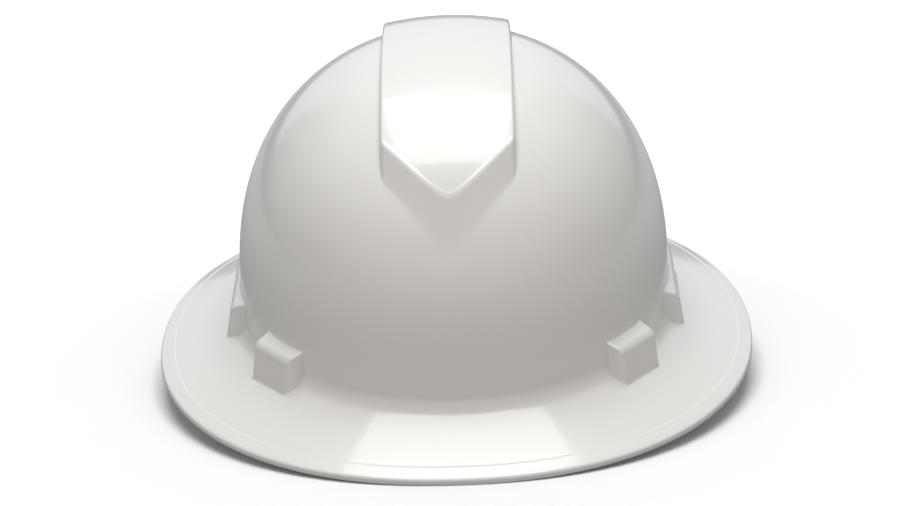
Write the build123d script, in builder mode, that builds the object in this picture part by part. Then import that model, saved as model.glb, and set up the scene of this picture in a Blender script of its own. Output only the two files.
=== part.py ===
from build123d import *
import math
import os

os.makedirs("parts", exist_ok=True)

# Full brim hard hat with a crossing strap suspension and a rack and pinion size ratchet.
# Millimetres. X = 0 is the plane of symmetry, -Y is the front, +Z is up as worn,
# and Z = 0 is the level of the brim's lower edge.

# Shell, outer sizes
dome_half_width = 104.2
dome_half_length = 124.2
dome_widest_height = 39.0
dome_rise = 112.6
dome_power_share = 2.25
dome_flare_share = 0.05
dome_cap_share = 0.12
shell_wall = 2.2
brim_half_width = 145.0
brim_half_length = 161.2
brim_power_share = 2.15
brim_junction_height = 17.0
brim_edge_height = 2.6
brim_edge_land = 1.0
junction_fillet = 5.0
rim_band_width = 6.6
rim_band_step = 0.4

# Ridge over the crown, with a V at each end
ridge_half_width = 30.8
ridge_height = 4.4
ridge_flatness = 15.0
ridge_low_level = 78.0
ridge_high_level = 165.0
ridge_low_tip = 130.0
ridge_tip = 110.65
ridge_tip_level = 104.0
ridge_lean_share = 16 / 90
ridge_turn_share = 28.9 / 90
ridge_tip_radius = 6.0

# Key sockets that bulge out of the dome
front_socket_x = 88.0
front_socket_y = 83.3
front_socket_angle_share = 50.3 / 90
socket_shoulder_height = 29.0
socket_top_height = 39.0
socket_face_width = 24.0
socket_flare = 7.0
socket_depth = 13.0
socket_edge_fillet = 2.0
side_socket_x = 110.7
side_socket_length = 64.0
side_socket_depth = 11.0

# Suspension keys
key_clearance = 0.4
blade_thickness = 2.2
blade_width = 19.0
blade_top = 26.0
key_base_bottom = 8.6
key_base_top = 11.4
leg_gap = 4.6
leg_thickness = 2.4
leg_width = 26.0
leg_top = 37.0
strap_window_bottom = 27.0
strap_bar_height = 3.2
arm_width = 9.0
arm_height = 5.0
stud_height = 19.0
stud_radius = 2.0
stud_head_radius = 4.2
stud_head_thickness = 1.2
stud_head_gap = 0.8
arm_gap = 0.5

# Crown straps
strap_width = 19.0
strap_thickness = 1.1
crown_height = 116.0
strap_layer_gap = 0.4
strap_bar_gap = 1.3
flap_length = 15.0

# Headband
band_radius = 80.0
head_girth = 590.0
smallest_girth = 520.0
largest_girth = 640.0
band_thickness = 1.4
band_front_y = -99.0
band_front_bottom = 7.0
band_front_top = 41.0
band_side_bottom = 11.0
band_side_top = 37.0
band_end_bottom = 14.0
band_end_top = 36.0
band_front_run = 24.0
band_blend = 30.0
band_corner = 14.0
height_travel = 12.0
stud_clearance = 0.3
band_end_gap = 0.3
tail_layer_gap = 0.5

# Tails and racks
tooth_module = 1.2
pinion_teeth = 10
pressure_angle_share = 28 / 90
tooth_addendum = 1.0
tooth_root_gap = 0.25
tooth_backlash = 0.16
tail_height = 22.0
ratchet_height = -14.0
window_gap = 0.6
tail_tip_margin = 6.0
tail_slope_share = 52 / 90
flank_shares = (0, 0.35, 0.7, 1)

# Ratchet housing
housing_half_width = 30.0
housing_wall = 1.8
housing_lip = 2.4
tail_gap = 0.3
boss_radius = 12.8
boss_rise = 4.6
shaft_radius = 3.0
shaft_gap = 0.08
click_tooth_tip = 10.0
click_tooth_depth = 1.0
click_teeth = 20
click_gap = 0.4
click_thickness = 2.0
click_arm = 1.3
drive_square = 4.2
drive_length = 4.0
drive_gap = 0.08
knob_radius = 16.0
knob_depth = 12.0
knob_wall = 2.0
knob_gap = 0.4
knob_edge = 0.8
knob_grips = 12
grip_radius = 3.0
screw_radius = 1.3
screw_gap = 0.05
screw_length = 9.0
screw_head_radius = 3.0
screw_head_height = 1.6
screw_recess_length = 3.4
screw_recess_width = 0.7
screw_recess_depth = 1.0

# Pads
pad_thickness = 4.0
pad_gap = 0.35
brow_pad_half_angle_share = 46 / 90
brow_pad_bottom = 5.0
brow_pad_top = 39.0
pad_round = 1.0
pad_shoulder_share = 0.45
nape_pad_margin = 2.0

overrun = 2.0
oval_points = 24
profile_steps = 9
bend_steps = 4

right_angle = 90.0
half_turn = 180.0

# Shell

def oval(half_width, half_length, power):
    """Points of one turn of a level superellipse."""
    points = []
    for step in range(oval_points):
        angle = 2 * math.pi * step / oval_points
        across = math.cos(angle)
        along = math.sin(angle)
        x = half_width * math.copysign(abs(across) ** (2 / power), across)
        y = half_length * math.copysign(abs(along) ** (2 / power), along)
        points.append((x, y))
    return points


def level_face(points, height):
    """Level face bounded by a closed smooth curve."""
    with BuildSketch(Plane.XY.offset(height)) as face:
        with BuildLine():
            Spline(*points, periodic=True)
        make_face()
    return face.sketch.faces()[0]


def dome(side, ends, rise, foot):
    """Solid dome above foot, whose widest ring is side wide and ends long in half sizes."""
    lean = dome_flare_share * (dome_widest_height - foot)
    sections = [level_face(oval(side + lean, ends + lean, 2), foot)]
    last_angle = math.acos(dome_cap_share ** (dome_power_share / 2))
    for step in range(profile_steps):
        angle = last_angle * step / (profile_steps - 1)
        out = math.cos(angle) ** (2 / dome_power_share)
        up = math.sin(angle) ** (2 / dome_power_share)
        sections.append(level_face(oval(side * out, ends * out, 2), dome_widest_height + rise * up))
    with BuildPart() as solid:
        loft(sections=sections)
    return solid.part


def bend(side, ends, level, radius):
    """Sections of the curve that joins the dome's wall to the brim, from the brim up."""
    sections = []
    for step in range(bend_steps):
        way = step / (bend_steps - 1)
        sizes = []
        levels = []
        for half, brim_half in ((side, brim_half_width), (ends, brim_half_length)):
            slope = math.atan2(brim_junction_height - brim_edge_height, brim_half - half)
            rise = radius * (1 - math.sin(slope)) / math.cos(slope)
            turn = math.pi + (1 - way) * (math.pi / 2 - slope)
            sizes.append(half + radius + radius * math.cos(turn))
            levels.append(level + rise + radius * math.sin(turn))
        sections.append(level_face(oval(sizes[0], sizes[1], 2), (levels[0] + levels[1]) / 2))
    return sections


def ridge(inset):
    """Ridge over the crown, inset from its outer surface on every side."""
    over = dome(dome_half_width + ridge_flatness + ridge_height - inset,
                dome_half_length + ridge_height - inset, dome_rise + ridge_height - inset, brim_junction_height)
    lean = math.radians(ridge_lean_share * right_angle)
    turn = math.radians(ridge_turn_share * right_angle)
    with BuildPart() as solid:
        with BuildSketch(Plane.XY.offset(ridge_low_level)):
            Rectangle(2 * (ridge_half_width - inset), 2 * ridge_low_tip)
        extrude(amount=ridge_high_level - ridge_low_level)
        for side in (-1, 1):
            for end in (-1, 1):
                out = Vector(side * math.sin(turn) * math.cos(lean), end * math.cos(turn) * math.cos(lean),
                             math.sin(lean))
                on_face = Vector(0, end * ridge_tip, ridge_tip_level) - out * inset
                split(bisect_by=Plane(origin=on_face, z_dir=out), keep=Keep.BOTTOM)
        fillet(solid.edges().sort_by(lambda edge: abs(edge.center().X))[:2], ridge_tip_radius - inset)
        add(over, mode=Mode.INTERSECT)
    return solid.part


def socket_plane(x, y, share):
    """Plane whose x runs out of a socket, whose y is up, and whose origin is on its outer face."""
    turn = math.radians(share * right_angle)
    out_x = math.copysign(math.sin(turn), x)
    out_y = math.copysign(math.cos(turn), y) if share < 1 else 0
    return Plane(origin=(x, y, 0), x_dir=(out_x, out_y, 0), z_dir=(out_y, -out_x, 0))


def socket(place, face_width, depth, inset, foot):
    """Socket block, inset from its outer surface: flared in plan and sloped on top."""
    half = face_width / 2 - inset
    level = Plane(origin=place.origin, x_dir=place.x_dir, z_dir=place.y_dir)
    with BuildPart() as solid:
        with BuildSketch(level.offset(foot)):
            with BuildLine():
                Polyline((-inset, -half), (-inset, half), (-depth, half + socket_flare),
                         (-depth, -half - socket_flare), close=True)
            make_face()
        extrude(amount=socket_top_height - foot)
        with BuildSketch(place):
            with BuildLine():
                Polyline((-inset, foot), (-inset, socket_shoulder_height - inset),
                         (-depth, socket_top_height - inset), (-depth, foot), close=True)
            make_face()
        extrude(amount=face_width + socket_flare, both=True, mode=Mode.INTERSECT)
        if inset == 0:
            outer = solid.faces().sort_by(Axis(place.origin, place.x_dir))[-1]
            fillet(outer.edges().sort_by(Axis.Z)[1:], socket_edge_fillet)
    return solid.part


front_share = front_socket_angle_share
sockets = {
    "front_left": (socket_plane(-front_socket_x, -front_socket_y, front_share), socket_face_width, socket_depth),
    "front_right": (socket_plane(front_socket_x, -front_socket_y, front_share), socket_face_width, socket_depth),
    "side_left": (socket_plane(-side_socket_x, 0, 1), side_socket_length, side_socket_depth),
    "side_right": (socket_plane(side_socket_x, 0, 1), side_socket_length, side_socket_depth),
    "rear_left": (socket_plane(-front_socket_x, front_socket_y, front_share), socket_face_width, socket_depth),
    "rear_right": (socket_plane(front_socket_x, front_socket_y, front_share), socket_face_width, socket_depth),
}

junction_lean = dome_flare_share * (dome_widest_height - brim_junction_height)
junction_half_width = dome_half_width + junction_lean
junction_half_length = dome_half_length + junction_lean
brim_slope = math.atan2(brim_junction_height - brim_edge_height, brim_half_width - junction_half_width)
underside_top = brim_junction_height - shell_wall / math.cos(brim_slope) + shell_wall * math.tan(brim_slope)

junction_bend = bend(junction_half_width, junction_half_length, brim_junction_height, junction_fillet)
wall_foot = junction_bend[-1].center().Z
dome_outside = dome(dome_half_width, dome_half_length, dome_rise, wall_foot)
dome_inside = dome(dome_half_width - shell_wall, dome_half_length - shell_wall, dome_rise - shell_wall,
                   underside_top)
with BuildPart() as junction:
    loft(sections=junction_bend, ruled=True)
band_rise = (brim_junction_height - brim_edge_height) * rim_band_width / (brim_half_width - junction_half_width)
band_height = brim_edge_height + band_rise
edge_height = brim_edge_height - rim_band_step
brim_outline = oval(brim_half_width, brim_half_length, brim_power_share)
band_outline = oval(brim_half_width - rim_band_width, brim_half_length - rim_band_width, brim_power_share)
land_outline = oval(brim_half_width - brim_edge_land, brim_half_length - brim_edge_land, brim_power_share)
inner_lean = dome_flare_share * (dome_widest_height - underside_top)
inner_outline = oval(dome_half_width - shell_wall + inner_lean, dome_half_length - shell_wall + inner_lean, 2)
with BuildPart() as brim_outside:
    loft(sections=[level_face(brim_outline, 0), level_face(brim_outline, edge_height),
                   level_face(band_outline, band_height - rim_band_step), level_face(band_outline, band_height),
                   junction_bend[0]], ruled=True)
with BuildPart() as brim_inside:
    loft(sections=[level_face(land_outline, 0), level_face(inner_outline, underside_top)], ruled=True)

socket_blocks = []
socket_hollows = []
for place, width, depth in sockets.values():
    socket_blocks.append(socket(place, width, depth, 0, key_base_top))
    socket_hollows.append(socket(place, width, depth, shell_wall, -overrun))

with BuildPart() as hollow_group:
    for hollow in socket_hollows:
        add(hollow)
    add(dome(dome_half_width, dome_half_length, dome_rise, key_base_top), mode=Mode.SUBTRACT)

with BuildPart() as shell:
    add(brim_outside.part)
    add(junction.part)
    add(dome_outside)
    for block in socket_blocks:
        add(block)
    add(ridge(0))
    add(dome_inside, mode=Mode.SUBTRACT)
    add(brim_inside.part, mode=Mode.SUBTRACT)
    add(hollow_group.part, mode=Mode.SUBTRACT)
    add(ridge(shell_wall), mode=Mode.SUBTRACT)
shell.part.label = "shell"
export_step(shell.part, "parts/shell.step")

# Suspension keys

rear_centre_y = band_front_y + band_radius + (head_girth - 2 * math.pi * band_radius) / 2
front_centre_y = band_front_y + band_radius


def reach(place, half_width, half_length, centre_y):
    """Distance inward from a socket's face to a level ellipse."""
    start = Vector(place.origin.X / half_width, (place.origin.Y - centre_y) / half_length)
    way = Vector(-place.x_dir.X / half_width, -place.x_dir.Y / half_length)
    toward = start.dot(way)
    return (-toward - math.sqrt(toward ** 2 - way.dot(way) * (start.dot(start) - 1))) / way.dot(way)


def leg_face(place):
    """Distance inward from a socket's face to the outer face of a key's leg."""
    return reach(place, dome_half_width - shell_wall, dome_half_length - shell_wall, 0) + leg_gap


def key(place, holds_band):
    """Blade in the socket, base under the shell's wall, leg with a strap bar, and a stud for the headband."""
    blade_face = shell_wall + key_clearance
    leg_out = leg_face(place)
    leg_in = leg_out + leg_thickness
    across = Plane(origin=place.origin, x_dir=place.z_dir, z_dir=-place.x_dir)
    with BuildPart() as solid:
        with BuildSketch(place):
            with BuildLine():
                Polyline((-blade_face, blade_top), (-blade_face, key_base_bottom), (-leg_in, key_base_bottom),
                         (-leg_in, key_base_top + leg_thickness), (-leg_out, key_base_top),
                         (-blade_face - blade_thickness, key_base_top), (-blade_face - blade_thickness, blade_top),
                         close=True)
            make_face()
        extrude(amount=blade_width / 2, both=True)
        fillet(solid.edges().filter_by(Axis.Z).group_by(Axis.Z)[-1].group_by(Axis((0, 0, 0), place.x_dir))[-1],
               key_clearance)
        with BuildSketch(across.offset(leg_out)) as outline:
            with Locations((0, (leg_top + key_base_bottom) / 2)):
                Rectangle(leg_width, leg_top - key_base_bottom)
            fillet(outline.vertices(), leg_thickness)
            with Locations((0, (leg_top - strap_bar_height + strap_window_bottom) / 2)):
                Rectangle(strap_width + stud_radius, leg_top - strap_bar_height - strap_window_bottom,
                          mode=Mode.SUBTRACT)
        extrude(amount=leg_thickness)
        if holds_band:
            band_out = reach(place, band_radius + band_thickness / 2, band_radius + band_thickness / 2,
                             front_centre_y) if place.origin.Y else place.origin.X * place.x_dir.X \
                - band_radius - band_thickness / 2
            with BuildSketch(across.offset(leg_in)):
                with Locations((0, stud_height)):
                    Rectangle(arm_width, arm_height)
            extrude(amount=band_out - arm_gap - leg_in)
            with BuildSketch(across.offset(band_out - arm_gap)):
                with Locations((0, stud_height)):
                    Circle(stud_radius)
            extrude(amount=arm_gap + band_thickness + stud_head_gap)
            with BuildSketch(across.offset(band_out + band_thickness + stud_head_gap)):
                with Locations((0, stud_height)):
                    Circle(stud_head_radius)
            extrude(amount=stud_head_thickness)
    return solid.part


key_parts = {}
for name, (place, width, depth) in sockets.items():
    key_parts[name] = key(place, not name.startswith("rear"))
    key_parts[name].label = "key_" + name
    export_step(key_parts[name], "parts/key_" + name + ".step")

# Crown straps


def crown_strap(place, layer):
    """Strap from a key over the crown to the key opposite, with a sewn loop round each key's bar."""
    bar = place.origin - place.x_dir * (leg_face(place) + leg_thickness / 2)
    bar_out = math.hypot(bar.X, bar.Y)
    plane = Plane(origin=(0, 0, 0), x_dir=(bar.X, bar.Y, 0), z_dir=(bar.Y, -bar.X, 0))
    loop_radius = leg_thickness / 2 + strap_bar_gap + strap_thickness / 2
    loop_height = leg_top - strap_bar_height / 2
    top = crown_height + layer * (strap_thickness + strap_layer_gap)
    with BuildPart() as solid:
        with BuildSketch(plane):
            with BuildLine():
                half = strap_thickness / 2
                across = bar_out - loop_radius
                rise = top - loop_height
                over = EllipticalCenterArc((0, loop_height), across + half, rise + half, 0, arc_size=half_turn)
                under = EllipticalCenterArc((0, loop_height), across - half, rise - half, 0, arc_size=half_turn)
                Line(over @ 0, under @ 0)
                Line(over @ 1, under @ 1)
            make_face()
        extrude(amount=strap_width / 2, both=True)
        for side in (1, -1):
            with BuildSketch(plane):
                with BuildLine():
                    inner = (side * (bar_out - loop_radius), loop_height)
                    outer = (side * (bar_out + loop_radius), loop_height)
                    ThreePointArc(inner, (side * bar_out, loop_height - loop_radius), outer)
                    Line(outer, (side * (bar_out - loop_radius + strap_thickness + strap_bar_gap / 2),
                                 loop_height + flap_length))
                trace(line_width=strap_thickness)
            extrude(amount=strap_width / 2, both=True)
    return solid.part


strap_names = (("crown_strap_side", "side_right"), ("crown_strap_left", "front_left"),
               ("crown_strap_right", "front_right"))
strap_parts = {}
for layer, (name, start) in enumerate(strap_names):
    strap_parts[name] = crown_strap(sockets[start][0], layer)
    strap_parts[name].label = name
    export_step(strap_parts[name], "parts/" + name + ".step")

# Headband

front_slot_places = [sockets["front_left"][0], sockets["front_right"][0]]
side_slot_places = [sockets["side_left"][0], sockets["side_right"][0]]
slot_bottom = stud_height - stud_radius - stud_clearance
slot_top = stud_height + height_travel + stud_radius + stud_clearance

with BuildPart() as headband:
    with BuildSketch(Plane.XY.offset(band_front_bottom)):
        with BuildLine():
            Line((band_radius, rear_centre_y), (band_radius, front_centre_y))
            ThreePointArc((band_radius, front_centre_y), (0, band_front_y), (-band_radius, front_centre_y))
            Line((-band_radius, front_centre_y), (-band_radius, rear_centre_y))
        trace(line_width=band_thickness)
    extrude(amount=band_front_top - band_front_bottom)
    front_end = band_front_y - overrun
    front_turn = band_front_y + band_front_run
    side_turn = front_turn + band_blend
    with BuildSketch(Plane.YZ) as side_view:
        with BuildLine():
            Polyline((front_end, band_front_bottom), (front_turn, band_front_bottom), (side_turn, band_side_bottom),
                     (rear_centre_y, band_end_bottom), (rear_centre_y, band_end_top), (side_turn, band_side_top),
                     (front_turn, band_front_top), (front_end, band_front_top), close=True)
        make_face()
        bends = side_view.vertices().filter_by(lambda point: front_end < point.X < rear_centre_y)
        fillet(bends, band_corner)
    extrude(amount=band_radius + overrun, both=True, mode=Mode.INTERSECT)
    for place in front_slot_places + side_slot_places:
        level = Plane(origin=place.origin, x_dir=place.z_dir, z_dir=-place.x_dir)
        with BuildSketch(level):
            with Locations((0, (slot_bottom + slot_top) / 2)):
                SlotOverall(slot_top - slot_bottom, 2 * (stud_radius + stud_clearance), rotation=right_angle)
        extrude(amount=place.origin.length - band_radius / 2, mode=Mode.SUBTRACT)
headband.part.label = "headband"
export_step(headband.part, "parts/headband.step")

# Tails with their racks

pitch_radius = tooth_module * pinion_teeth / 2
tooth_pitch = math.pi * tooth_module
pressure_angle = math.radians(pressure_angle_share * right_angle)
tooth_root = tooth_addendum + tooth_root_gap
tighten_travel = (head_girth - smallest_girth) / 2
loosen_travel = (largest_girth - head_girth) / 2
layer_shift = (band_thickness + tail_layer_gap) / 2


def rear_plane(angle):
    """Upright plane across a radius of the rear arc, angle in radians from the rear towards +X."""
    along = Vector(math.cos(angle), -math.sin(angle), 0)
    inward = Vector(-math.sin(angle), -math.cos(angle), 0)
    return Plane(origin=(0, rear_centre_y, 0), x_dir=along, z_dir=inward)


def rear_arc(radius, start, end):
    """Arc about the rear centre, between two angles in radians from the rear towards +X."""
    degrees = math.degrees
    return CenterArc((0, rear_centre_y), radius, right_angle - degrees(end), degrees(end - start))


def tail(side, shift):
    """Tail from one side of the headband to past the pinion; side is where its rack lies, up or down."""
    radius = band_radius + shift
    from_side = -side
    tip = side * (loosen_travel + pitch_radius + tooth_addendum + window_gap + tail_tip_margin) / radius
    start = from_side * (math.pi / 2 - band_end_gap / radius)
    tip_angle, start_angle = min(tip, start), max(tip, start)
    slope_end = rear_centre_y + radius * math.cos(math.pi / 2 * tail_slope_share)
    low = ratchet_height - tail_height / 2
    high = ratchet_height + tail_height / 2
    pitch_line = ratchet_height + side * pitch_radius
    tip_line = pitch_line - side * tooth_addendum
    root_line = pitch_line + side * tooth_root
    window_far = ratchet_height - side * (pitch_radius + tooth_addendum + window_gap)
    reach_tight = (tighten_travel + pitch_radius + tooth_addendum + window_gap) / radius
    reach_loose = (loosen_travel + pitch_radius + tooth_addendum + window_gap) / radius
    window_ends = sorted((-side * reach_tight, side * reach_loose))
    with BuildPart() as solid:
        with BuildSketch(Plane.XY.offset(low)):
            with BuildLine():
                rear_arc(radius, tip_angle, start_angle)
            trace(line_width=band_thickness)
        extrude(amount=band_end_top - low)
        with BuildSketch(Plane.YZ) as side_view:
            with BuildLine():
                rear_end = rear_centre_y + radius + overrun
                Polyline((rear_centre_y, band_end_bottom), (slope_end, low), (rear_end, low), (rear_end, high),
                         (slope_end, high), (rear_centre_y, band_end_top), close=True)
            make_face()
            bends = side_view.vertices().filter_by(lambda point: rear_centre_y < point.X < rear_end)
            fillet(bends, band_corner)
        extrude(amount=band_radius + overrun, both=True, mode=Mode.INTERSECT)
        with BuildSketch(Plane.XY.offset(min(window_far, tip_line))):
            with BuildLine():
                rear_arc(radius, window_ends[0], window_ends[1])
            trace(line_width=band_thickness + overrun)
        extrude(amount=abs(window_far - tip_line), mode=Mode.SUBTRACT)
        half_pitch = tooth_pitch / 4 + tooth_backlash / 2
        half_tip = half_pitch + tooth_addendum * math.tan(pressure_angle)
        half_root = half_pitch - tooth_root * math.tan(pressure_angle)
        first = math.ceil(-(abs(window_ends[0]) * radius - half_tip) / tooth_pitch)
        last = math.floor((abs(window_ends[1]) * radius - half_tip) / tooth_pitch)
        for tooth in range(first, last + 1):
            with BuildSketch(rear_plane(tooth * tooth_pitch / radius).offset(-radius - overrun)):
                with BuildLine():
                    Polyline((-half_tip, tip_line), (-half_root, root_line), (half_root, root_line),
                             (half_tip, tip_line), close=True)
                make_face()
            extrude(amount=2 * overrun, mode=Mode.SUBTRACT)
    return solid.part


left_tail = tail(1, -layer_shift)
left_tail.label = "left_tail"
export_step(left_tail, "parts/left_tail.step")
right_tail = tail(-1, layer_shift)
right_tail.label = "right_tail"
export_step(right_tail, "parts/right_tail.step")

# Ratchet housing

channel_inner = band_radius - layer_shift - band_thickness / 2 - tail_gap
channel_outer = band_radius + layer_shift + band_thickness / 2 + tail_gap
base_face = channel_inner - housing_wall
cover_face = channel_outer + housing_wall
housing_half_angle = housing_half_width / band_radius
housing_half_height = tail_height / 2 + tail_gap + housing_lip
channel_half_height = tail_height / 2 + tail_gap
boss_face_y = rear_centre_y + cover_face + boss_rise
click_root = click_tooth_tip + click_tooth_depth
recess_floor_y = boss_face_y - click_thickness - click_gap


def housing_half(inner, outer):
    """Half of the housing between two radii, with the channel for the tails cut through it."""
    with BuildPart() as solid:
        with BuildSketch(Plane.XY.offset(ratchet_height - housing_half_height)):
            with BuildLine():
                rear_arc((inner + outer) / 2, -housing_half_angle, housing_half_angle)
            trace(line_width=outer - inner)
        extrude(amount=2 * housing_half_height)
        fillet(solid.edges().filter_by(GeomType.LINE).group_by(SortBy.LENGTH)[0], housing_wall)
        with BuildSketch(Plane.XY.offset(ratchet_height - channel_half_height)):
            with BuildLine():
                rear_arc(band_radius, -housing_half_angle * 2, housing_half_angle * 2)
            trace(line_width=channel_outer - channel_inner)
        extrude(amount=2 * channel_half_height, mode=Mode.SUBTRACT)
    return solid.part


def back_plane(y):
    """Upright plane across Y through the ratchet's axis, facing the rear."""
    return Plane(origin=(0, y, ratchet_height), x_dir=(-1, 0, 0), z_dir=(0, 1, 0))


with BuildPart() as ratchet_base:
    add(housing_half(base_face, band_radius))
    with BuildSketch(back_plane(rear_centre_y + base_face - overrun)):
        Circle(shaft_radius + shaft_gap)
    extrude(amount=housing_wall + 2 * overrun, mode=Mode.SUBTRACT)
ratchet_base.part.label = "ratchet_base"
export_step(ratchet_base.part, "parts/ratchet_base.step")

with BuildPart() as ratchet_cover:
    add(housing_half(band_radius, cover_face))
    with BuildSketch(back_plane(rear_centre_y + channel_outer)):
        Circle(boss_radius)
    extrude(amount=boss_face_y - rear_centre_y - channel_outer)
    with BuildSketch(back_plane(rear_centre_y + channel_outer - overrun)):
        Circle(shaft_radius + shaft_gap)
    extrude(amount=boss_face_y - rear_centre_y - channel_outer + 2 * overrun, mode=Mode.SUBTRACT)
    with BuildSketch(back_plane(recess_floor_y)):
        points = []
        for tooth in range(click_teeth):
            middle = 2 * math.pi * tooth / click_teeth
            step = math.pi / click_teeth
            points.append((click_root * math.cos(middle), click_root * math.sin(middle)))
            points.append((click_tooth_tip * math.cos(middle + step), click_tooth_tip * math.sin(middle + step)))
        with BuildLine():
            Polyline(*points, close=True)
        make_face()
    extrude(amount=boss_face_y - recess_floor_y, mode=Mode.SUBTRACT)
ratchet_cover.part.label = "ratchet_cover"
export_step(ratchet_cover.part, "parts/ratchet_cover.step")

# Pinion and its shaft


def involute(angle):
    return math.tan(angle) - angle


base_circle = pitch_radius * math.cos(pressure_angle)
tip_circle = pitch_radius + tooth_addendum
root_circle = pitch_radius - tooth_root
pitch_half_angle = (tooth_pitch / 2 - tooth_backlash) / 2 / pitch_radius
flank = []
for share in flank_shares:
    out = base_circle + share * (tip_circle - base_circle)
    half = pitch_half_angle + involute(pressure_angle) - involute(math.acos(min(1, base_circle / out)))
    flank.append((out, half))
tooth_outline = [(root_circle, flank[0][1])] + flank
outline = []
for tooth in range(pinion_teeth):
    middle = math.pi / 2 + 2 * math.pi * tooth / pinion_teeth
    for out, half in tooth_outline:
        outline.append((out * math.cos(middle - half), out * math.sin(middle - half)))
    for out, half in reversed(tooth_outline):
        outline.append((out * math.cos(middle + half), out * math.sin(middle + half)))

pinion_start = rear_centre_y + channel_inner + tail_gap / 2
pinion_end = rear_centre_y + math.sqrt(channel_outer ** 2 - tip_circle ** 2) - tail_gap
drive_start = recess_floor_y + click_gap / 2
drive_end = boss_face_y + key_clearance + drive_length
with BuildPart() as pinion:
    with BuildSketch(back_plane(pinion_start)):
        with BuildLine():
            Polyline(*outline, close=True)
        make_face()
    extrude(amount=pinion_end - pinion_start)
    with BuildSketch(back_plane(rear_centre_y + base_face)):
        Circle(shaft_radius)
    extrude(amount=drive_start - rear_centre_y - base_face)
    with BuildSketch(back_plane(drive_start)):
        Rectangle(drive_square, drive_square)
    extrude(amount=drive_end - drive_start)
    with BuildSketch(back_plane(drive_end - screw_length)):
        Circle(screw_radius + screw_gap)
    extrude(amount=screw_length, mode=Mode.SUBTRACT)
pinion.part.label = "pinion"
export_step(pinion.part, "parts/pinion.step")

# Click spring: a ring on the shaft with two curved arms that end in tips

spring_ring = shaft_radius + shaft_gap + click_arm
arm_radius = (click_tooth_tip - click_gap - click_arm + spring_ring) / 2
with BuildPart() as click_spring:
    with BuildSketch(back_plane(drive_start)):
        Circle(spring_ring)
        for side in (1, -1):
            with BuildLine():
                start = (side * (shaft_radius + click_arm / 2), 0)
                turn = (0, side * arm_radius)
                end = (-side * (click_tooth_tip - click_gap - click_arm / 2), 0)
                ThreePointArc(start, turn, end)
            trace(line_width=click_arm)
            with Locations(end):
                Circle(click_arm / 2)
        Rectangle(drive_square + 2 * drive_gap, drive_square + 2 * drive_gap, mode=Mode.SUBTRACT)
    extrude(amount=click_thickness)
click_spring.part.label = "click_spring"
export_step(click_spring.part, "parts/click_spring.step")

# Knob and its screw

knob_start = rear_centre_y + cover_face + knob_gap
knob_end = knob_start + knob_depth
plate_start = drive_end + key_clearance
hub_radius = drive_square
with BuildPart() as knob:
    with BuildSketch(back_plane(knob_start)):
        Circle(knob_radius)
        with PolarLocations(knob_radius + grip_radius / 2, knob_grips):
            Circle(grip_radius, mode=Mode.SUBTRACT)
    extrude(amount=knob_depth)
    chamfer(knob.faces().sort_by(Axis.Y)[-1].edges(), knob_edge)
    with BuildSketch(back_plane(knob_start - overrun)):
        Circle(boss_radius + knob_gap)
    extrude(amount=boss_face_y + key_clearance - knob_start + overrun, mode=Mode.SUBTRACT)
    with BuildSketch(back_plane(boss_face_y)):
        Circle(knob_radius - knob_wall * 2)
        Circle(hub_radius, mode=Mode.SUBTRACT)
    extrude(amount=plate_start - boss_face_y, mode=Mode.SUBTRACT)
    with BuildSketch(back_plane(boss_face_y)):
        Rectangle(drive_square + 2 * drive_gap, drive_square + 2 * drive_gap)
    extrude(amount=plate_start - boss_face_y, mode=Mode.SUBTRACT)
    with BuildSketch(back_plane(plate_start - overrun)):
        Circle(screw_radius + 2 * screw_gap)
    extrude(amount=knob_end - plate_start + 2 * overrun, mode=Mode.SUBTRACT)
    with BuildSketch(back_plane(knob_end - screw_head_height)):
        Circle(screw_head_radius + 2 * screw_gap)
    extrude(amount=screw_head_height + overrun, mode=Mode.SUBTRACT)
knob.part.label = "knob"
export_step(knob.part, "parts/knob.step")

with BuildPart() as knob_screw:
    with BuildSketch(back_plane(knob_end - screw_head_height)):
        Circle(screw_head_radius)
    extrude(amount=screw_head_height - screw_gap)
    with BuildSketch(back_plane(knob_end - screw_head_height - screw_length + overrun)):
        Circle(screw_radius)
    extrude(amount=screw_length - overrun)
    with BuildSketch(back_plane(knob_end - screw_gap)):
        Rectangle(screw_recess_length, screw_recess_width)
        Rectangle(screw_recess_width, screw_recess_length)
    extrude(amount=-screw_recess_depth, mode=Mode.SUBTRACT)
knob_screw.part.label = "knob_screw"
export_step(knob_screw.part, "parts/knob_screw.step")

# Pads


def pad(centre_y, outer, middle_angle, half_angle, bottom, top):
    """Pad that lies along an arc: flat against its carrier, crowned towards the head, angles in degrees."""
    inner = outer - pad_thickness
    shoulder = outer - pad_thickness * pad_shoulder_share
    level = (bottom + top) / 2
    with BuildPart() as solid:
        with BuildSketch(Plane.YZ):
            with BuildLine():
                Polyline((centre_y + shoulder, bottom), (centre_y + outer, bottom + pad_round),
                         (centre_y + outer, top - pad_round), (centre_y + shoulder, top))
                ThreePointArc((centre_y + shoulder, top), (centre_y + inner, level), (centre_y + shoulder, bottom))
            make_face()
        revolve(axis=Axis((0, centre_y, 0), (0, 0, 1)), revolution_arc=2 * half_angle)
        chamfer(solid.faces().filter_by(GeomType.PLANE).edges().filter_by(GeomType.CIRCLE), pad_round)
    return solid.part.rotate(Axis((0, centre_y, 0), (0, 0, 1)), middle_angle - right_angle - half_angle)


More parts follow.
